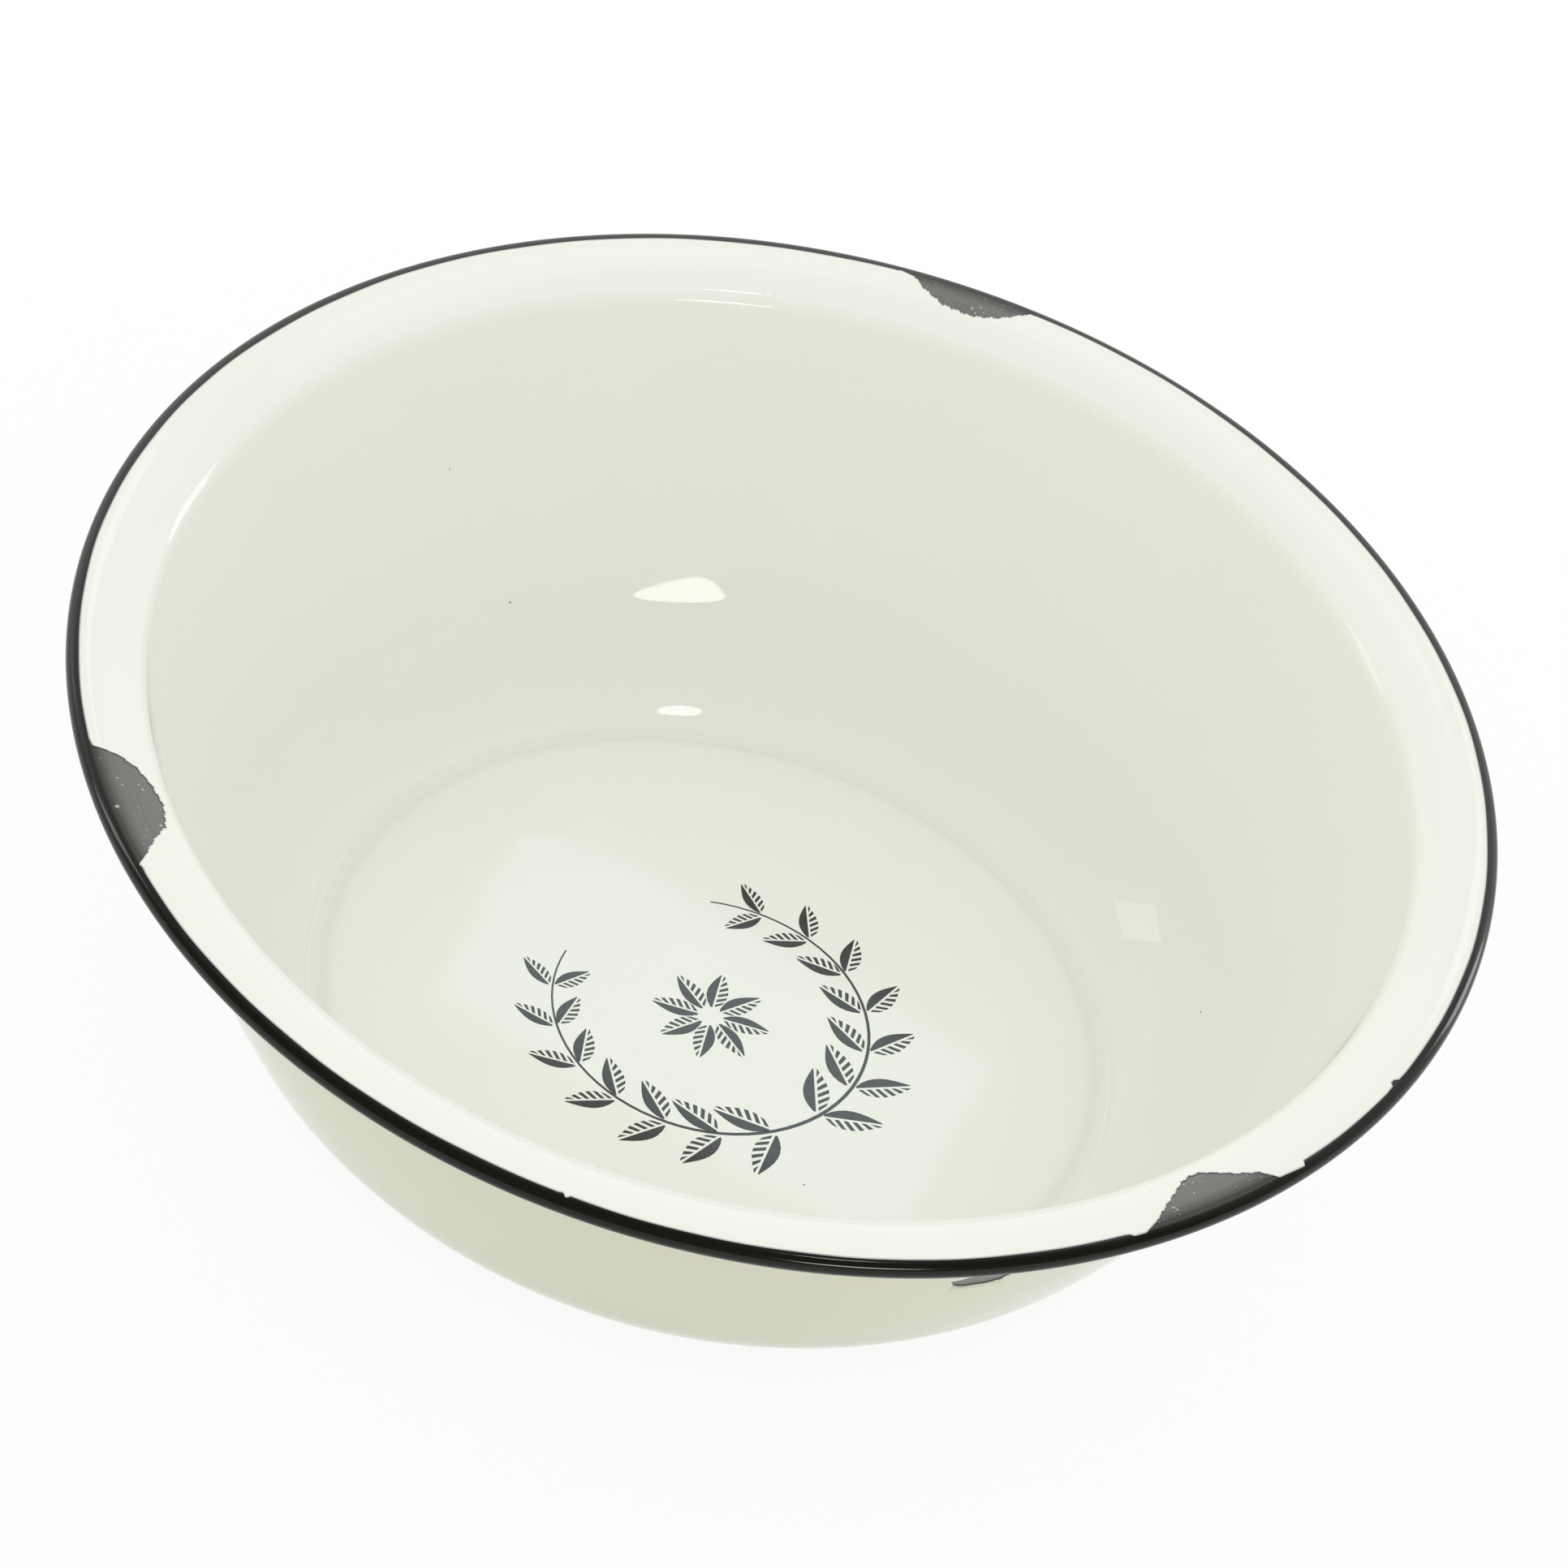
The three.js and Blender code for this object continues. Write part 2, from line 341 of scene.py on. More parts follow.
def coat_rows(lower, upper, edge, skips, loose_from=None, loose_rows=0):
    """Rows out along the upper face, round the edge and back. Loose rows follow the edge as it shifts."""
    lower_skip, upper_skip = skips
    middle = (lower + upper) / 2
    half = (upper - lower) / 2
    reach = edge - half
    if loose_from is None:
        face = [(along, 0) for along in bend_rows(reach)]
    else:
        face = [(along, 0) for along in bend_rows(loose_from)]
        for share in np.linspace(0, 1, loose_rows, endpoint=False):
            face.append((loose_from + share * (reach - loose_from), share))
    rim_follow = 0 if loose_from is None else 1
    rows = [(along, follow, upper) for along, follow in face[::upper_skip]]
    for angle in np.linspace(UP, -UP, EDGE_STEPS + 1):
        rows.append((reach + half * math.cos(angle), rim_follow, middle + half * math.sin(angle)))
    return rows + [(along, follow, lower) for along, follow in reversed(face[::lower_skip])]


def roll(name, rows, edge, finish, turns=None, shifts=None):
    if turns is None:
        turns = np.linspace(0, 2 * math.pi, PLAIN_COLUMNS + 1)
        shifts = np.zeros_like(turns)
    line = new_object(
        "line",
        [(r, 0, z) for r, z in line_points],
        edges=[(i, i + 1) for i in range(len(line_points) - 1)],
        up=[(r, 0, z) for r, z in line_ups],
    )
    columns = new_object("columns", [(turn, shift, 0) for turn, shift in zip(turns, shifts)])
    row_points = new_object("rows", rows)
    values = {
        "Line": line,
        "Columns": columns,
        "Rows": row_points,
        "Column count": len(turns),
        "Row count": len(rows),
        "Edge": edge,
        "Finish": finish,
    }
    return grow(name, rolled_coat, values, [line, columns, row_points])


print("a face that shows has", len(bend_rows(line_end)), "rows and", PLAIN_COLUMNS, "columns")

# %% [markdown]
# ## Finishes
# Porcelain enamel is glass, so every coat has glass's refractive index and a smooth, wet-looking
# gloss. Fired enamel is never dead flat: it ripples over a few centimetres, which is what bends the
# edge of a reflection. Colours are written as sRGB hex values, as they would be picked from a
# colour chart, and one function makes them linear.


# %% Colours, and the start of a material
GLASS_IOR = 1.5


def linear(hex_colour):
    channels = [int(hex_colour[i : i + 2], 16) / 255 for i in (1, 3, 5)]
    return tuple(c / 12.92 if c <= 0.04045 else ((c + 0.055) / 1.055) ** 2.4 for c in channels) + (1,)


def new_material(name):
    material = bpy.data.materials.new(name)
    material.use_nodes = True
    tree = material.node_tree
    return material, tree, tree.nodes["Principled BSDF"]


print("half-way grey, #808080, is", round(linear("#808080")[0], 3), "in linear light")

# %% [markdown]
# ### Cream enamel
# The cover coat is an opaque glass, tinted cream. A painted picture could be wrapped round it, but
# a picture is only as fine as its pixels. Noise at the real width of each feature stays sharp:
# broad clouds of colour, a ripple and a fine orange peel. Towards a broken edge the cream thins out
# and the dark coat shows through, so the rolled coat carries its distance from the edge as an
# attribute, and the colour reads it.

# %% Cream enamel
CLOUD_WIDTH = 60 * MM  # of the faint shades in the glaze
RIPPLE_WIDTH = 24 * MM
RIPPLE_HEIGHT = 0.02 * MM
PEEL_WIDTH = 1.4 * MM
PEEL_HEIGHT = 0.0007 * MM
GLAZE_ROUGHNESS = 0.03
SOFT_GLOSS = 0.15  # a third of glass's usual gloss, for an old, washed-out glaze
THIN_FROM = 0.5 * MM  # from the edge; here the cream starts to thin out over the dark coat
THINNEST = 0.1 * MM
SHOW_THROUGH = 0.75
THIN_CREAM = "#8E9097"


def cream_enamel(name, body, deep):
    """Opaque cream glaze: milky and even, glossy, with a ripple and a faint orange peel."""
    material, tree, shader = new_material(name)

    def add(kind, inputs=None, **settings):
        return add_node(tree, kind, inputs, **settings)

    place = add("ShaderNodeTexCoord").outputs["Object"]
    clouds = add("ShaderNodeTexNoise", {"Vector": place, "Scale": 1 / CLOUD_WIDTH, "Detail": 3})
    tint = add(
        "ShaderNodeMix",
        {0: clouds.outputs["Fac"], "A": linear(body), "B": linear(deep)},
        data_type="RGBA",
    )
    gap = add("ShaderNodeAttribute", attribute_name="edge_gap")
    thin = add(
        "ShaderNodeMapRange",
        {
            "Value": gap.outputs["Fac"],
            "From Min": THINNEST,
            "From Max": THIN_FROM,
            "To Min": SHOW_THROUGH,
            "To Max": 0,
        },
    )
    colour = add(
        "ShaderNodeMix",
        {0: thin.outputs[0], "A": tint.outputs[2], "B": linear(THIN_CREAM)},
        data_type="RGBA",
    )
    tree.links.new(colour.outputs[2], shader.inputs["Base Color"])

    ripple = add("ShaderNodeTexNoise", {"Vector": place, "Scale": 1 / RIPPLE_WIDTH, "Detail": 1})
    swell = add(
        "ShaderNodeBump", {"Height": ripple.outputs["Fac"], "Distance": RIPPLE_HEIGHT, "Strength": 1}
    )
    peel = add("ShaderNodeTexNoise", {"Vector": place, "Scale": 1 / PEEL_WIDTH, "Detail": 1})
    skin = add(
        "ShaderNodeBump",
        {
            "Height": peel.outputs["Fac"],
            "Distance": PEEL_HEIGHT,
            "Strength": 1,
            "Normal": swell.outputs[0],
        },
    )
    tree.links.new(skin.outputs[0], shader.inputs["Normal"])
    shader.inputs["Roughness"].default_value = GLAZE_ROUGHNESS
    shader.inputs["Specular IOR Level"].default_value = SOFT_GLOSS
    shader.inputs["IOR"].default_value = GLASS_IOR
    return material


lining = cream_enamel("cream_enamel_lining", "#EFF1E7", "#EDEFE4")
# painted shade: the outside's cream is darker and deeper than the lining's because the outer wall lies in
# shade
outer_glaze = cream_enamel("cream_enamel_outside", "#DADBC7", "#D6D7C0")
print(lining.name, "and", outer_glaze.name, "have", len(lining.node_tree.nodes), "nodes each")

# %% [markdown]
# ### Dark enamel
# The ground coat shows on the bead, where hands have worn its gloss, and in the chips, where the
# cream tore away and left a streaked skin. There it is painted a lighter grey than the bead's black,
# fading to black towards the bead: painted sheen for the light that the same dark glass reflects on
# the flat of the flange. Two materials would meet in a hard line. One material that fades along the
# section has none, and its streaks follow the rim, because they are drawn on the sheet as it was
# before it was rolled.

# %% Dark enamel
STREAK_WIDTH = 0.8 * MM
STREAK_LENGTH = 40 * MM
STREAK_HEIGHT = 0.01 * MM
# painted sheen: the chips' two streaked greys are lighter than the bead's black for the light the same coat
# reflects there
BROKEN_DARK = "#54534E"
BROKEN_LIGHT = "#72716C"
BROKEN_ROUGHNESS = 0.35
BROKEN_GLOSS = 0.5  # glass's usual gloss
BEAD_BLACK = "#15130D"
BEAD_ROUGHNESS = 0.12
WORN_GLOSS = 0.28  # of the bead, which hands have rubbed
FADE_BEFORE = 4 * MM  # the broken face turns to bead from here,
FADE_AFTER = 1 * MM  # to here, measured from where the roll starts


def dark_enamel(name):
    """Near-black ground coat: glossy on the bead; satin, streaked and painted a lighter grey as sheen where
    the cream broke away.
    """
    material, tree, shader = new_material(name)

    def add(kind, inputs=None, **settings):
        return add_node(tree, kind, inputs, **settings)

    sheet = add("ShaderNodeAttribute", attribute_name="sheet").outputs["Vector"]
    long_way = add(
        "ShaderNodeMapping", {"Vector": sheet, "Scale": (1 / STREAK_LENGTH, 1 / STREAK_WIDTH, 1)}
    )
    streaks = add("ShaderNodeTexNoise", {"Vector": long_way.outputs[0], "Scale": 1, "Detail": 4})
    along = add("ShaderNodeSeparateXYZ", {0: sheet}).outputs["Y"]
    on_bead = add(
        "ShaderNodeMapRange",
        {"Value": along, "From Min": roll_from - FADE_BEFORE, "From Max": roll_from + FADE_AFTER},
    )
    rough = add(
        "ShaderNodeMapRange",
        {"Value": on_bead.outputs[0], "To Min": BROKEN_ROUGHNESS, "To Max": BEAD_ROUGHNESS},
    )
    tree.links.new(rough.outputs[0], shader.inputs["Roughness"])
    shine = add(
        "ShaderNodeMapRange",
        {"Value": on_bead.outputs[0], "To Min": BROKEN_GLOSS, "To Max": WORN_GLOSS},
    )
    tree.links.new(shine.outputs[0], shader.inputs["Specular IOR Level"])
    # painted sheen: streaked grey in the chips, lighter than the bead's black
    broken = add(
        "ShaderNodeMix",
        {0: streaks.outputs["Fac"], "A": linear(BROKEN_DARK), "B": linear(BROKEN_LIGHT)},
        data_type="RGBA",
    )
    tint = add(
        "ShaderNodeMix",
        {0: on_bead.outputs[0], "A": broken.outputs[2], "B": linear(BEAD_BLACK)},
        data_type="RGBA",
    )
    tree.links.new(tint.outputs[2], shader.inputs["Base Color"])
    brushed = add(
        "ShaderNodeBump", {"Height": streaks.outputs["Fac"], "Distance": STREAK_HEIGHT, "Strength": 1}
    )
    tree.links.new(brushed.outputs[0], shader.inputs["Normal"])
    shader.inputs["IOR"].default_value = GLASS_IOR
    return material


ground_glaze = dark_enamel("dark_enamel_ground")
print(ground_glaze.name, "has", len(ground_glaze.node_tree.nodes), "nodes")

# %% [markdown]
# ### Steel and ink
# The steel lies under glass, so its finish is simple: a metal whose roughness follows the mill's
# rolling lines. The ink is a ceramic black that was fired with the glaze. It could be one flat
# black, but it bends reflections with the same ripple as the glaze round it, and a finer noise
# makes it thin in places.

# %% Steel and ink
ROLLING_LINE = (30 * MM, 0.6 * MM, 0.6 * MM)  # size of one line that the mill's rolls left
STEEL_ROUGHNESS = (0.35, 0.55)
INK_GRAIN = 2 * MM
INK_ROUGHNESS = 0.06
INK_GLOSS = 0.3


def sheet_steel():
    """Cold-rolled sheet, pickled before firing: grey, with fine rolling lines. It lies under the coats."""
    material, tree, shader = new_material("sheet_steel_pickled")
    place = add_node(tree, "ShaderNodeTexCoord").outputs["Object"]
    scales = tuple(1 / size for size in ROLLING_LINE)
    grain = add_node(tree, "ShaderNodeMapping", {"Vector": place, "Scale": scales})
    lines = add_node(tree, "ShaderNodeTexNoise", {"Vector": grain.outputs[0], "Scale": 1, "Detail": 2})
    smoothest, roughest = STEEL_ROUGHNESS
    rough = add_node(
        tree, "ShaderNodeMapRange", {"Value": lines.outputs["Fac"], "To Min": smoothest, "To Max": roughest}
    )
    tree.links.new(rough.outputs[0], shader.inputs["Roughness"])
    shader.inputs["Base Color"].default_value = linear("#A9ABAE")
    shader.inputs["Metallic"].default_value = 1
    return material


def fired_ink():
    """Black ceramic ink, fired into the glaze: glossier than the washed-out cream, and thin in places."""
    material, tree, shader = new_material("fired_ceramic_ink")
    place = add_node(tree, "ShaderNodeTexCoord").outputs["Object"]
    wear = add_node(tree, "ShaderNodeTexNoise", {"Vector": place, "Scale": 1 / INK_GRAIN, "Detail": 4})
    tint = add_node(
        tree,
        "ShaderNodeMix",
        {0: wear.outputs["Fac"], "A": linear("#1B1A0F"), "B": linear("#302F20")},
        data_type="RGBA",
    )
    tree.links.new(tint.outputs[2], shader.inputs["Base Color"])
    ripple = add_node(tree, "ShaderNodeTexNoise", {"Vector": place, "Scale": 1 / RIPPLE_WIDTH, "Detail": 1})
    swell = add_node(
        tree, "ShaderNodeBump", {"Height": ripple.outputs["Fac"], "Distance": RIPPLE_HEIGHT, "Strength": 1}
    )
    tree.links.new(swell.outputs[0], shader.inputs["Normal"])
    shader.inputs["Roughness"].default_value = INK_ROUGHNESS
    shader.inputs["Specular IOR Level"].default_value = INK_GLOSS
    shader.inputs["IOR"].default_value = GLASS_IOR
    return material


steel = sheet_steel()
ink = fired_ink()
print("finishes:", [material.name for material in (lining, outer_glaze, ground_glaze, steel, ink)])

# %% [markdown]
# ## The sheet and the plain coats
# The steel and the two ground coats are plain rolls. The steel and the upper ground coat follow the
# line right round the curl. The lower coats stop at the seam, where the end of the curl comes back
# under the flange. A face that another coat hides is rolled with half the rows, which keeps each
# piece light where nobody looks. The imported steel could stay, as it is out of sight, but its facets
# stray about half a millimetre from the true round and would come out through coats that are
# thinner than that.

# %% Roll the steel and the ground coats
seam_at = roll_from - BEAD_RADIUS


def dress(piece, node):
    """Hangs a piece under the root body and hides the CAD node that it stands for."""
    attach(piece, "root")
    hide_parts(node)
    print(piece.name, "has", len(piece.data.polygons), "faces")


def plain_coat(name, node, lower, upper, edge, skips, finish):
    piece = roll(name, coat_rows(lower, upper, edge, skips), edge, finish)
    dress(piece, node)
    return piece


plain_coat("pressed_sheet", "steel_pressing", -SHEET, 0, line_end, (HIDDEN, HIDDEN), steel)
plain_coat(
    "ground_coat_upper",
    "ground_coat_inside",
    BOND,
    ground_face,
    line_end,
    (HIDDEN, SHOWN),
    ground_glaze,
)
plain_coat(
    "ground_coat_lower",
    "ground_coat_outside",
    -SHEET - ground_face,
    -SHEET - BOND,
    seam_at,
    (HIDDEN, HIDDEN),
    ground_glaze,
)

# %% [markdown]
# ## The cream lining
# The lining ends in a hand-dipped line just short of the bead, and it has been knocked off the rim
# in three places. A knock leaves a ragged scallop. Its edge is drawn by a few points, each a
# distance round the rim from the middle of the chip and a depth in from the outside of the bead,
# and small waves make it ragged between them. A Boolean could cut the chips out of a whole coat,
# but here the coat just ends sooner, so its rows follow the break.

# %% The edge of the lining, as a depth for each direction
RIM_MARGIN = 3.1 * MM
ARC_RADIUS = 180 * MM  # where distances round the rim are measured
# Waves round the rim, their size and where they start
EDGE_WAVES = [
    (1, 0.9 * MM, 0),
    (3, 0.16 * MM, 0.4),
    (7, 0.1 * MM, 2.1),
    (16, 0.07 * MM, 5.0),
    (41, 0.04 * MM, 1.3),
]
# Length and size of the waves in a broken edge, which is one that lies deeper than BREAK_DEPTH
RAGGED_WAVES = [(3.1 * MM, 0.22 * MM), (1.3 * MM, 0.16 * MM), (0.7 * MM, 0.1 * MM)]
BREAK_DEPTH = 1.5 * RIM_MARGIN
# Azimuth in degrees, then (distance round, depth) in millimetres
CHIPS = {
    "left": (
        210.15,
        [(-22.5, 2.6), (-20, 3.1), (-17.2, 9), (-13.2, 13.5), (-7.5, 16.4), (-0.9, 17.7)]
        + [(3, 16.9), (8.5, 15.2), (13.7, 9.8), (19.2, 4.7), (21.1, 2.2), (22.4, 2.6)],
    ),
    "right": (
        317.2,
        [(-28, 2.5), (-26.6, 1.6), (-23.2, 1.6), (-19.3, 3.7), (-13.5, 7.9), (-3.9, 14.1), (-0.3, 15.2)]
        + [(2.9, 14.8), (10, 8.9), (15.2, 5.9), (18.4, 1.9), (26.8, 1.2), (27.6, 2.5)],
    ),
    "far": (
        85.36,
        [(-19.5, 4), (-17.9, 4), (-13.9, 7.3), (-11, 9.4), (-6.5, 11.1), (-3, 11.9)]
        + [(5, 11.2), (10.9, 7.9), (14.2, 4.6), (17.9, 3.6), (19.5, 4)],
    ),
    "front nick": (262.85, [(-1.5, 2.2), (-0.9, 2.7), (-0.3, 2.7), (0.3, 1.7), (0.7, 1.7), (1.5, 2.2)]),
    "side nick": (338.5, [(-1.6, 2.7), (-1, 3.6), (0.4, 3.7), (1.6, 2.7)]),
}
LINING_COLUMNS = 360
CHIP_STEP = 0.4 * MM  # between the columns that are added over a chip


def edge_depths(turns):
    depths = np.full_like(turns, RIM_MARGIN)
    for waves, size, phase in EDGE_WAVES:
        depths += size * np.sin(waves * turns + phase)
    for azimuth, points in CHIPS.values():
        rounds, bites = np.array(points).T * MM
        away = (turns - math.radians(azimuth) + math.pi) % (2 * math.pi) - math.pi
        arc = away * ARC_RADIUS
        bite = np.interp(arc, rounds, bites)
        for length, size in RAGGED_WAVES:
            bite += size * np.sin(2 * math.pi * arc / length + azimuth) * (bite > BREAK_DEPTH)
        depths = np.where((arc > rounds[0]) & (arc < rounds[-1]), bite, depths)
    return depths


def chip_turns():
    """Directions that are close together over the chips and wider apart between them."""
    parts = [np.linspace(0, 2 * math.pi, LINING_COLUMNS + 1)]
    for azimuth, points in CHIPS.values():
        reach = points[-1][0] * MM / ARC_RADIUS
        count = int(2 * reach * ARC_RADIUS / CHIP_STEP)
        parts.append(math.radians(azimuth) + np.linspace(-reach, reach, count))
    return np.unique(np.concatenate(parts))


turns = chip_turns()
depths = edge_depths(turns)
shallowest, deepest = [(limit / MM).round(1) for limit in (depths.min(), depths.max())]
print("edge:", len(turns), "columns, depth", shallowest, "to", deepest, "mm")

# %% Roll the lining
LOOSE_RADIUS = 171 * MM  # outside this radius the rows of the lining follow its edge
LOOSE_ROWS = 14
cover_radii = (line_points + cover_face * line_ups)[:, 0]
outermost = np.argmax(cover_radii)


def along_at(radii):
    """Distance along the section at a radius, between the crest and the outside of the bead."""
    over_flange = slice(flange_from, outermost + 1)
    return np.interp(radii, cover_radii[over_flange], line_along[over_flange])


mean_edge = float(along_at(rim_radius - RIM_MARGIN))
shifts = along_at(rim_radius - depths) - mean_edge
lining_rows = coat_rows(
    cover_back, cover_face, mean_edge, (HIDDEN, SHOWN), float(along_at(LOOSE_RADIUS)), LOOSE_ROWS
)
cream_lining = roll("cream_lining", lining_rows, mean_edge, lining, turns, shifts)
dress(cream_lining, "cover_coat_inside")

# %% [markdown]
# ## The outer coat
# The outside is the same glaze, painted a little darker and deeper in colour as painted shade, because
# the outer wall lies in shade. One flake is missing high on the wall. A hole in the middle of a grid
# needs a cut, so a ragged prism is taken out of the coat with a Boolean modifier.

# %% Roll the outer coat and knock out its flake
FLAKE_TURN = math.radians(302)
FLAKE_SIZE = (16 * MM, 6 * MM)
FLAKE_DROP = 39 * MM  # below the middle of the bead
FLAKE_POINTS = 40
FLAKE_WAVES = [(5, 0.05, 0), (9, 0.04, 1)]  # waves round it, their size and where they start


def flake_cutter():
    angles = np.linspace(0, 2 * math.pi, FLAKE_POINTS, endpoint=False)
    ragged = np.ones(FLAKE_POINTS)
    for waves, size, phase in FLAKE_WAVES:
        ragged += size * np.sin(waves * angles + phase)
    across = FLAKE_SIZE[0] / 2 * ragged * np.cos(angles)
    up = bead_centre[1] - FLAKE_DROP + FLAKE_SIZE[1] / 2 * ragged * np.sin(angles)
    points = [(r, y, z) for r in (stand_radius, rim_radius) for y, z in zip(across, up)]
    ring = range(FLAKE_POINTS)
    sides = []
    for i in ring:
        after = (i + 1) % FLAKE_POINTS
        sides.append((i, after, after + FLAKE_POINTS, i + FLAKE_POINTS))
    ends = [tuple(reversed(ring)), tuple(i + FLAKE_POINTS for i in ring)]
    cutter = new_object("flake_cutter", points, faces=sides + ends)
    cutter.data.transform(Matrix.Rotation(FLAKE_TURN, 4, "Z"))
    return cutter


outer_rows = coat_rows(-SHEET - cover_face, -SHEET - cover_back, seam_at, (SHOWN, HIDDEN))
cream_outside = roll("cream_outside", outer_rows, seam_at, outer_glaze)
cutter = flake_cutter()
knock = cream_outside.modifiers.new("flake", "BOOLEAN")
knock.object = cutter
knock.operation = "DIFFERENCE"
knock.solver = "EXACT"
settle(cream_outside)
bpy.data.objects.remove(cutter)
cream_outside.data.materials.clear()  # the cut leaves its walls in an empty slot
cream_outside.data.materials.append(outer_glaze)
dress(cream_outside, "cover_coat_outside")

# %% [markdown]
# ## The print on the floor
# A transfer print of two laurel sprays lies fired into the lining. A pattern of shader nodes could
# draw it, but shapes keep a sharp edge from close up and go along with the exported mesh. One leaf
# is drawn, with a solid half and a hatched half as an engraver would cut it, and Geometry Nodes set
# it along both sprays and as a rosette in the middle. The flat shapes are then raised into a thin
# slab, so the ink is a closed skin a little proud of the glaze.

# %% Draw one leaf, a unit long
LEAF_WIDTH = 0.19  # of each half
LEAF_BELLY = 0.85  # below 1, the widest place moves towards the stem
LEAF_SLIT = 0.022  # half of the bare line between the halves
LEAF_START = 0.06
SOLID_SPAN = (0.04, 0.97)
SOLID_POINTS = 9
HATCHES = 6
HATCH_SPAN = (0.06, 0.78)
HATCH_INK = 0.45  # share of the hatched half that is ink
HATCH_LEAN = 0.12


def leaf_half_width(along):
    return LEAF_WIDTH * math.sin(math.pi * along**LEAF_BELLY)


def drawn_leaf():
    points = []
    faces = []

    def add_strip(corners):
        faces.append(tuple(range(len(points), len(points) + len(corners))))
        points.extend((LEAF_START + along, across, 0) for along, across in corners)

    alongs = np.linspace(*SOLID_SPAN, SOLID_POINTS)
    edge = [(along, LEAF_SLIT + leaf_half_width(along)) for along in reversed(alongs)]
    add_strip([(alongs[0], LEAF_SLIT), (alongs[-1], LEAF_SLIT)] + edge)
    for start in np.linspace(*HATCH_SPAN, HATCHES):
        stop = start + HATCH_INK / HATCHES
        outer = [start + HATCH_LEAN, stop + HATCH_LEAN]
        corners = [(along, -LEAF_SLIT - leaf_half_width(along)) for along in outer]
        add_strip([(stop, -LEAF_SLIT), (start, -LEAF_SLIT)] + corners)
    return new_object("leaf", points, faces=faces)


print("a leaf is one solid half and", HATCHES, "hatches")

# %% The tree that sets the leaves
UNEVEN_LEAN = 0.09  # in radians, either way
TIP_SHRINK = 0.35  # how much shorter the leaves get towards a spray's tip
PETAL_SHARE = 0.8  # of a leaf's length
ROSETTE_HOLE = 0.15  # of a petal's length
STEM_POINTS = 61
STEM_TAPER = 0.6


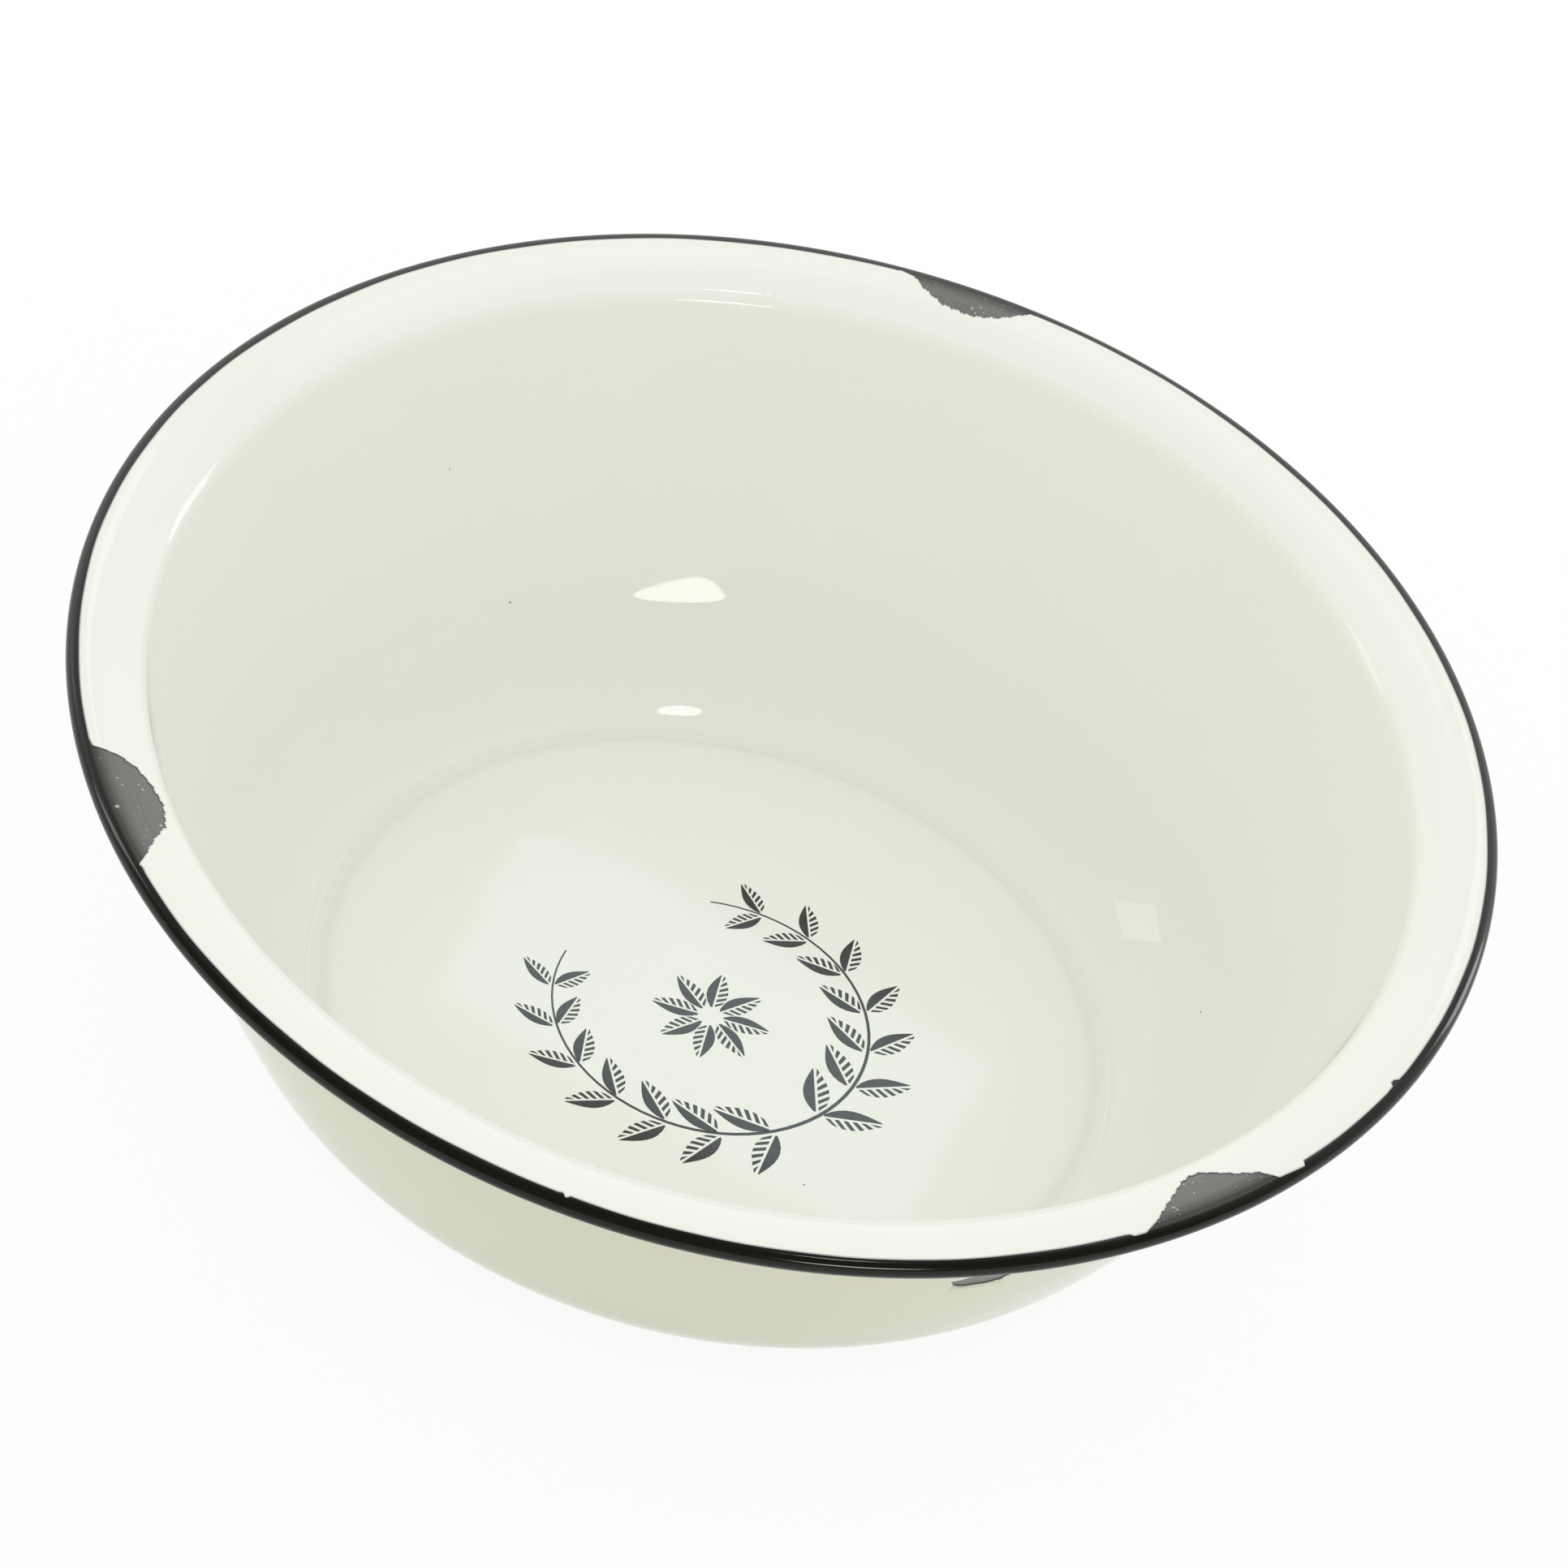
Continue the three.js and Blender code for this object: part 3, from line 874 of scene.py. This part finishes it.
def laurel_tree():
    tree, given = new_tree(
        "laurel",
        {
            "Leaf": "Object",
            "Leaves": "Int",
            "Petals": "Int",
            "Radius": "Float",
            "Gap": "Float",
            "Sweep": "Float",
            "Spread": "Float",
            "Leaf length": "Float",
            "Stem width": "Float",
            "Thickness": "Float",
            "Place": "Vector",
            "Turn": "Vector",
            "Seed": "Int",
            "Finish": "Material",
        },
    )

    def add(kind, inputs=None, **settings):
        return add_node(tree, kind, inputs, **settings)

    def spot(angle, radius):
        """A place at this angle and radius, on the flat."""
        parts = {}
        for axis, operation in (("X", "COSINE"), ("Y", "SINE")):
            share = add("ShaderNodeMath", {0: angle}, operation=operation)
            part = add("ShaderNodeMath", {0: radius, 1: share.outputs[0]}, operation="MULTIPLY")
            parts[axis] = part.outputs[0]
        return add("ShaderNodeCombineXYZ", parts).outputs[0]

    leaf = add("GeometryNodeObjectInfo", {"Object": given["Leaf"]}).outputs["Geometry"]
    index = add("GeometryNodeInputIndex").outputs[0]

    def leaves(count, angle, radius, facing, length):
        points = add("GeometryNodePoints", {"Count": count, "Position": spot(angle, radius)})
        turned = add("ShaderNodeCombineXYZ", {"Z": facing})
        rotation = add("FunctionNodeEulerToRotation", {0: turned.outputs[0]})
        return add(
            "GeometryNodeInstanceOnPoints",
            {
                "Points": points.outputs[0],
                "Instance": leaf,
                "Rotation": rotation.outputs[0],
                "Scale": length,
            },
        ).outputs[0]

    # Leaves go to the two sprays in turn, and stand on each spray in pairs
    odd = add("ShaderNodeMath", {0: index, 1: 2}, operation="FLOORED_MODULO").outputs[0]
    way = add("ShaderNodeMath", {0: odd, 1: -2, 2: 1}, operation="MULTIPLY_ADD").outputs[0]
    halves = add("ShaderNodeMath", {0: index, 1: 2}, operation="DIVIDE").outputs[0]
    place = add("ShaderNodeMath", {0: halves}, operation="FLOOR").outputs[0]
    odd_place = add("ShaderNodeMath", {0: place, 1: 2}, operation="FLOORED_MODULO").outputs[0]
    side = add("ShaderNodeMath", {0: odd_place, 1: -2, 2: 1}, operation="MULTIPLY_ADD").outputs[0]
    quarters = add("ShaderNodeMath", {0: index, 1: 4}, operation="DIVIDE").outputs[0]
    pair = add("ShaderNodeMath", {0: quarters}, operation="FLOOR").outputs[0]
    pairs = add("ShaderNodeMath", {0: given["Leaves"], 1: 4}, operation="DIVIDE").outputs[0]
    share = add("ShaderNodeMath", {0: pair, 1: pairs}, operation="DIVIDE").outputs[0]

    # Where each leaf stands on the wreath, which way it points and how long it is
    reach = add(
        "ShaderNodeMath", {0: given["Sweep"], 1: share, 2: given["Gap"]}, operation="MULTIPLY_ADD"
    ).outputs[0]
    angle = add("ShaderNodeMath", {0: way, 1: reach, 2: -UP}, operation="MULTIPLY_ADD").outputs[0]
    uneven = add(
        "FunctionNodeRandomValue",
        {"Min": -UNEVEN_LEAN, "Max": UNEVEN_LEAN, "Seed": given["Seed"]},
        data_type="FLOAT",
    )
    spread = add("ShaderNodeMath", {0: side, 1: given["Spread"]}, operation="MULTIPLY").outputs[0]
    lean = add("ShaderNodeMath", {0: spread, 1: uneven.outputs[1]}).outputs[0]
    forward = add("ShaderNodeMath", {0: way, 1: UP, 2: angle}, operation="MULTIPLY_ADD").outputs[0]
    facing = add("ShaderNodeMath", {0: forward, 1: lean}).outputs[0]
    shrink = add("ShaderNodeMath", {0: share, 1: -TIP_SHRINK, 2: 1}, operation="MULTIPLY_ADD").outputs[0]
    length = add("ShaderNodeMath", {0: given["Leaf length"], 1: shrink}, operation="MULTIPLY").outputs[0]
    sprays = leaves(given["Leaves"], angle, given["Radius"], facing, length)

    petal_step = add("ShaderNodeMath", {0: 2 * math.pi, 1: given["Petals"]}, operation="DIVIDE").outputs[0]
    petal_angle = add("ShaderNodeMath", {0: index, 1: petal_step}, operation="MULTIPLY").outputs[0]
    petal_length = add(
        "ShaderNodeMath", {0: given["Leaf length"], 1: PETAL_SHARE}, operation="MULTIPLY"
    ).outputs[0]
    hole = add("ShaderNodeMath", {0: petal_length, 1: ROSETTE_HOLE}, operation="MULTIPLY").outputs[0]
    rosette = leaves(given["Petals"], petal_angle, hole, petal_angle, petal_length)

    # The stem is a flat strip, bent round and tapering to its two ends
    strip = add(
        "GeometryNodeMeshGrid", {"Size X": 2, "Size Y": 1, "Vertices X": STEM_POINTS, "Vertices Y": 2}
    )
    where = add("ShaderNodeSeparateXYZ", {0: add("GeometryNodeInputPosition").outputs[0]}).outputs
    half_way = add("ShaderNodeMath", {0: given["Gap"], 1: given["Sweep"]}).outputs[0]
    stem_angle = add(
        "ShaderNodeMath", {0: where["X"], 1: half_way, 2: -UP}, operation="MULTIPLY_ADD"
    ).outputs[0]
    from_foot = add("ShaderNodeMath", {0: where["X"]}, operation="ABSOLUTE").outputs[0]
    taper = add("ShaderNodeMath", {0: from_foot, 1: -STEM_TAPER, 2: 1}, operation="MULTIPLY_ADD").outputs[0]
    width = add("ShaderNodeMath", {0: given["Stem width"], 1: taper}, operation="MULTIPLY").outputs[0]
    inwards = add("ShaderNodeMath", {0: width, 1: -1}, operation="MULTIPLY").outputs[0]
    stem_radius = add(
        "ShaderNodeMath", {0: where["Y"], 1: inwards, 2: given["Radius"]}, operation="MULTIPLY_ADD"
    ).outputs[0]
    stem = add(
        "GeometryNodeSetPosition",
        {"Geometry": strip.outputs[0], "Position": spot(stem_angle, stem_radius)},
    )

    drawn = add("GeometryNodeJoinGeometry", {"Geometry": sprays})
    tree.links.new(rosette, drawn.inputs[0])
    tree.links.new(stem.outputs[0], drawn.inputs[0])
    real = add("GeometryNodeRealizeInstances", {"Geometry": drawn.outputs[0]})
    raised = add(
        "GeometryNodeExtrudeMesh",
        {
            "Mesh": real.outputs[0],
            "Offset": (0, 0, 1),
            "Offset Scale": given["Thickness"],
            "Individual": False,
        },
        mode="FACES",
    )
    under = add("GeometryNodeFlipFaces", {"Mesh": real.outputs[0]})
    slab = add("GeometryNodeJoinGeometry", {"Geometry": raised.outputs[0]})
    tree.links.new(under.outputs[0], slab.inputs[0])
    closed = add("GeometryNodeMergeByDistance", {"Geometry": slab.outputs[0], "Distance": WELD})
    placed = add(
        "GeometryNodeTransform",
        {"Geometry": closed.outputs[0], "Translation": given["Place"], "Rotation": given["Turn"]},
    )
    finished = add("GeometryNodeSetMaterial", {"Geometry": placed.outputs[0], "Material": given["Finish"]})
    add("NodeGroupOutput", {"Geometry": finished.outputs[0]})
    return tree


laurel_leaves = laurel_tree()
print("laurel has", len(laurel_leaves.nodes), "nodes")

# %% Print the laurel
INK_DEPTH = 0.02 * MM  # part of the ink that has sunk into the glaze
INK_THICKNESS = 0.05 * MM
leaf = drawn_leaf()
laurel = grow(
    "laurel_print",
    laurel_leaves,
    {
        "Leaf": leaf,
        "Leaves": 28,
        "Petals": 8,
        "Radius": 43 * MM,
        "Gap": math.radians(9),
        "Sweep": math.radians(138),
        "Spread": math.radians(46),
        "Leaf length": 17 * MM,
        "Stem width": 1.1 * MM,
        "Thickness": INK_THICKNESS,
        "Place": (0, 0, floor_height + cover_face - INK_DEPTH),
        "Turn": (0, 0, math.radians(44)),
        "Seed": 3,
        "Finish": ink,
    },
    [leaf],
)
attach(laurel, "root")
print("laurel_print has", len(laurel.data.polygons), "faces")

# %% [markdown]
# ## Crumbs and pinholes
# A chip never breaks off clean. Crumbs of cream stay on the dark coat, and the firing leaves a few
# dark pinholes in the cream. Both are specks on a surface: flattened stones, each with a place, a
# size and the surface's upright. Setting each by hand would be slow, so one tree puts a stone on
# every listed place, and dice add dust to the list.

# %% The tree that sets specks
SPECK_LENGTHS = (0.7, 1.4)  # shortest and longest, as shares of a speck's width


def speck_tree():
    tree, given = new_tree(
        "specks",
        {"Places": "Object", "Flatness": "Float", "Seed": "Int", "Finish": "Material"},
    )

    def add(kind, inputs=None, **settings):
        return add_node(tree, kind, inputs, **settings)

    places = add("GeometryNodeObjectInfo", {"Object": given["Places"]})
    points = add("GeometryNodeMeshToPoints", {"Mesh": places.outputs["Geometry"]})
    stone = add("GeometryNodeMeshIcoSphere", {"Radius": 1, "Subdivisions": 2})
    upright = add("GeometryNodeInputNamedAttribute", {"Name": "up"}, data_type="FLOAT_VECTOR")
    size = add("GeometryNodeInputNamedAttribute", {"Name": "size"}, data_type="FLOAT")
    spin = add(
        "FunctionNodeRandomValue", {"Min": 0, "Max": 2 * math.pi, "Seed": given["Seed"]}, data_type="FLOAT"
    )
    turned = add("ShaderNodeCombineXYZ", {"Z": spin.outputs[1]})
    rotation = add("FunctionNodeEulerToRotation", {0: turned.outputs[0]})
    standing = add(
        "FunctionNodeAlignRotationToVector",
        {"Rotation": rotation.outputs[0], "Vector": upright.outputs[0]},
        axis="Z",
    )
    shortest, longest = SPECK_LENGTHS
    length = add(
        "FunctionNodeRandomValue",
        {"Min": shortest, "Max": longest, "Seed": given["Seed"]},
        data_type="FLOAT",
    )
    shape = add("ShaderNodeCombineXYZ", {"X": length.outputs[1], "Y": 1, "Z": given["Flatness"]})
    sized = add("ShaderNodeVectorMath", {0: shape.outputs[0], "Scale": size.outputs[0]}, operation="SCALE")
    set_out = add(
        "GeometryNodeInstanceOnPoints",
        {
            "Points": points.outputs[0],
            "Instance": stone.outputs[0],
            "Rotation": standing.outputs[0],
            "Scale": sized.outputs[0],
        },
    )
    real = add("GeometryNodeRealizeInstances", {"Geometry": set_out.outputs[0]})
    smooth = add("GeometryNodeSetShadeSmooth", {"Geometry": real.outputs[0]})
    finished = add("GeometryNodeSetMaterial", {"Geometry": smooth.outputs[0], "Material": given["Finish"]})
    add("NodeGroupOutput", {"Geometry": finished.outputs[0]})
    return tree


specks = speck_tree()
print("specks has", len(specks.nodes), "nodes")


# %% Set specks on the section
def set_specks(name, spots, flatness, seed, finish):
    """Specks at (direction, distance along the section, lift, size)."""
    points = []
    ups = []
    for turn, along, lift, _ in spots:
        r, z = [np.interp(along, line_along, line_points[:, axis]) for axis in (0, 1)]
        up_r, up_z = [np.interp(along, line_along, line_ups[:, axis]) for axis in (0, 1)]
        r += lift * up_r
        z += lift * up_z
        points.append((r * math.cos(turn), r * math.sin(turn), z))
        ups.append((up_r * math.cos(turn), up_r * math.sin(turn), up_z))
    places = new_object("places", points, up=ups, size=[size for *_, size in spots])
    values = {"Places": places, "Flatness": flatness, "Seed": seed, "Finish": finish}
    piece = grow(name, specks, values, [places])
    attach(piece, "root")
    print(name, "has", len(spots), "specks and", len(piece.data.polygons), "faces")


# %% Crumbs in the chips
# For each chip: (distance round, depth, size) in millimetres
CRUMBS = {
    "left": [(1.2, 4.2, 0.6), (-8.7, 7.2, 0.34), (-6.3, 7.9, 0.36), (-6.8, 12.6, 0.3)]
    + [(-5.1, 13.3, 0.42), (8, 14.2, 0.5), (9.1, 14.6, 0.4)],
    "right": [(-11.8, 5.6, 0.4), (-1.5, 12.5, 0.36), (-4.1, 13.1, 0.3)]
    + [(-4.1, 9, 0.3), (-12.2, 6.6, 0.36)],
    "far": [(-3.1, 9.4, 0.4), (-5.2, 8.1, 0.36), (-6.4, 9.5, 0.32), (-4.3, 10.6, 0.32)],
}
CRUMB_FLATNESS = 0.35
# Dust lies along the broken edge. Its sizes and distances are in millimetres too
DUST_COUNT = 26
DUST_SPREAD = 0.7  # share of the chip's length
DUST_MARGIN = 0.3
DUST_REACH = 2.2
DUST_SIZES = (0.08, 0.2)
dice = np.random.default_rng(7)
crumbs = []
for chip, listed in CRUMBS.items():
    azimuth, outline = CHIPS[chip]
    rounds, bites = np.array(outline).T
    dust = []
    for _ in range(DUST_COUNT):
        where = dice.uniform(DUST_SPREAD * rounds[0], DUST_SPREAD * rounds[-1])
        deepest = np.interp(where, rounds, bites) - DUST_MARGIN
        dust.append((where, deepest - dice.exponential(DUST_REACH), dice.uniform(*DUST_SIZES)))
    for where, depth, size in listed + dust:
        turn = math.radians(azimuth) + where * MM / ARC_RADIUS
        if depth * MM > BEAD_RADIUS:
            crumbs.append((turn, float(along_at(rim_radius - depth * MM)), ground_face, size * MM))
set_specks("cream_crumbs", crumbs, CRUMB_FLATNESS, seed=5, finish=lining)

# %% Pinholes in the lining
# Direction in degrees, then the distance along the section and the size in millimetres
PINHOLES = [(133.4, 190.5, 0.28), (126.9, 147.9, 0.3), (15.5, 137.4, 0.26), (304.4, 62.8, 0.3)]
PINHOLE_FLATNESS = 0.08
pinholes = []
for azimuth, along, size in PINHOLES:
    pinholes.append((math.radians(azimuth), along * MM, cover_face, size * MM))
set_specks("pinholes", pinholes, PINHOLE_FLATNESS, seed=2, finish=ground_glaze)

# %% [markdown]
# ## Stage, light and camera
# The basin stands on white paper inside a white light tent, which is a world of plain white at
# strength 1. That gives the soft, nearly shadowless light of a catalogue picture, at a level where
# each colour looks as written. A real tent is open towards the camera, and gloss shows that opening
# as a dark side. So Light Path gives reflections a darker front here, while the light on the basin
# stays even all round.

# %% Floor
FLOOR_SIZE = 6.0
PAPER_WHITE = 0.9  # how much of the floor is seen as plain white; the rest keeps the shadow
PAPER_ROUGHNESS = 0.9


def white_floor():
    """Matt white paper. The camera and the glaze see a plain white with the basin's soft shadow on it."""
    material, tree, shader = new_material("white_paper")
    output = tree.nodes["Material Output"]
    rays = add_node(tree, "ShaderNodeLightPath")
    shader.inputs["Base Color"].default_value = linear("#FCFCFB")
    shader.inputs["Roughness"].default_value = PAPER_ROUGHNESS
    shader.inputs["Specular IOR Level"].default_value = 0
    veil = add_node(tree, "ShaderNodeEmission", {"Color": (1, 1, 1, 1), "Strength": 1})
    looked_at = add_node(
        tree,
        "ShaderNodeMath",
        {0: rays.outputs["Is Camera Ray"], 1: rays.outputs["Is Glossy Ray"]},
        operation="MAXIMUM",
    )
    seen = add_node(tree, "ShaderNodeMath", {0: looked_at.outputs[0], 1: PAPER_WHITE}, operation="MULTIPLY")
    mixed = add_node(
        tree, "ShaderNodeMixShader", {0: seen.outputs[0], 1: shader.outputs[0], 2: veil.outputs[0]}
    )
    tree.links.new(mixed.outputs[0], output.inputs["Surface"])
    return material


half_floor = FLOOR_SIZE / 2
floor_corners = [(x * half_floor, y * half_floor, 0) for x, y in ((-1, -1), (1, -1), (1, 1), (-1, 1))]
floor = new_object("floor", floor_corners, faces=[(0, 1, 2, 3)])
floor.data.materials.append(white_floor())
print("floor is", FLOOR_SIZE, "m wide")

# %% World
OPEN_FRONT = 0.15  # how bright the tent's open side is, which reflections alone see
FRONT_END = -0.2  # Y of the directions between which the open front turns to white
WHITE_START = 0.5
scene = bpy.context.scene
world = bpy.data.worlds.new("white_tent")
scene.world = world
world.use_nodes = True
background = world.node_tree.nodes["Background"]
background.inputs["Color"].default_value = (1, 1, 1, 1)
way = add_node(world.node_tree, "ShaderNodeTexCoord").outputs["Generated"]
to_back = add_node(world.node_tree, "ShaderNodeSeparateXYZ", {0: way}).outputs["Y"]
opening = add_node(
    world.node_tree,
    "ShaderNodeMapRange",
    {
        "Value": to_back,
        "From Min": FRONT_END,
        "From Max": WHITE_START,
        "To Min": OPEN_FRONT,
        "To Max": 1,
    },
)
rays = add_node(world.node_tree, "ShaderNodeLightPath")
strength = add_node(
    world.node_tree, "ShaderNodeMix", {0: rays.outputs["Is Glossy Ray"], "A": 1, "B": opening.outputs[0]}
)
world.node_tree.links.new(strength.outputs[0], background.inputs["Strength"])
print(world.name, "has", len(world.node_tree.nodes), "nodes")

# %% [markdown]
# ### What the glaze mirrors
# A tent alone would leave the glaze dull. What makes it look wet is the bright things that it
# mirrors: lit panels behind the tent, a window with a tint of the sky and a few lamps. Each one
# here is an area lamp with a direction and a size as seen from the basin, and it is shut off for
# diffuse light, so it draws a reflection without changing the light level. One soft lamp at the
# back is the other way round: it lights the walls a little from that side, as the brighter end of a
# tent does, and no reflection shows it.

# %% Panels, window and lamps
CARD_DISTANCE = 10
LIGHT_AIM = Vector((0, 0, 0.06))
LAMPLIGHT = "#FFFFFF"
SKYLIGHT = "#E1F0FF"


def card(
    name,
    azimuth,
    elevation,
    wide,
    tall,
    radiance,
    colour=LAMPLIGHT,
    shape="RECTANGLE",
    roll=0,
    distance=CARD_DISTANCE,
):
    """A lit panel that only reflections see: angles in degrees, and how bright it looks, white being 1."""
    light = bpy.data.lights.new(name, "AREA")
    light.color = linear(colour)[:3]
    light.shape = shape
    light.size = 2 * distance * math.tan(math.radians(wide / 2))
    light.size_y = 2 * distance * math.tan(math.radians(tall / 2))
    area = light.size * light.size_y * (math.pi / 4 if shape == "ELLIPSE" else 1)
    light.energy = radiance * math.pi * area
    lamp = bpy.data.objects.new(name, light)
    bpy.context.collection.objects.link(lamp)
    turn = math.radians(azimuth)
    rise = math.radians(elevation)
    way = Vector((math.cos(rise) * math.cos(turn), math.cos(rise) * math.sin(turn), math.sin(rise)))
    place = Matrix.Translation(LIGHT_AIM + distance * way)
    upright = way.to_track_quat("Z", "Y").to_matrix().to_4x4()
    lamp.matrix_world = place @ upright @ Matrix.Rotation(math.radians(roll), 4, "Z")
    lamp.visible_camera = False
    lamp.visible_diffuse = False
    return lamp


# Name, azimuth, elevation, width and height as seen from the basin, and brightness
card("panel_top", 75, 62, 44, 20, 1.2)
card("panel_side", 161, 25, 32, 26, 0.5)
card("panel_back", 95, 20, 110, 38, 0.5)
card("window", 90, 43.9, 5.1, 2, 3.3, SKYLIGHT, roll=-13.5, distance=3)
card("corner_lamp", 38, 10, 11, 24, 5.5)
card("side_lamp", 171, 22, 8, 26, 4)
card("front_lamp", -61.5, 17.8, 17.5, 7.4, 20, shape="ELLIPSE")
card("top_lamp", -39, 71.5, 6.5, 4.8, 20, shape="ELLIPSE")
back_light = card("back_light", 95, 22, 110, 36, 0.22)
back_light.visible_diffuse = True
back_light.visible_glossy = False
print("lamps:", len(bpy.data.lights))

# %% [markdown]
# ### The camera
# The camera looks down at 43 degrees through a long lens, so the far side of the rim looks nearly
# as wide as the near side, and it is rolled, which tilts the rim. A Track To constraint would aim
# it but keep it level, so its three axes are worked out one by one and set as a matrix.

# %% Camera
VIEW_ELEVATION = math.radians(43.427)
VIEW_ROLL = math.radians(15.296)
VIEW_DISTANCE = 3.3
VIEW_SHIFT = (-0.798 * MM, -12.444 * MM)
LENS = 290.67  # in mm, as the width of the film is
FILM_WIDTH = 36

view_back = Vector((0, -math.cos(VIEW_ELEVATION), math.sin(VIEW_ELEVATION)))
level_right = Vector((1, 0, 0))
level_up = view_back.cross(level_right)
view_right = math.cos(VIEW_ROLL) * level_right + math.sin(VIEW_ROLL) * level_up
view_up = math.cos(VIEW_ROLL) * level_up - math.sin(VIEW_ROLL) * level_right
aim = Vector((0, 0, bead_centre[1]))
eye = aim + VIEW_DISTANCE * view_back + VIEW_SHIFT[0] * view_right + VIEW_SHIFT[1] * view_up

camera_data = bpy.data.cameras.new("camera")
camera_data.lens = LENS
camera_data.sensor_width = FILM_WIDTH
camera = bpy.data.objects.new("camera", camera_data)
bpy.context.collection.objects.link(camera)
camera.matrix_world = Matrix(
    [(*axis, place) for axis, place in zip(zip(view_right, view_up, view_back), eye)] + [(0, 0, 0, 1)]
)
scene.camera = camera
scene.view_settings.view_transform = "Standard"
print("the camera stands at", [round(part, 3) for part in eye], "m")
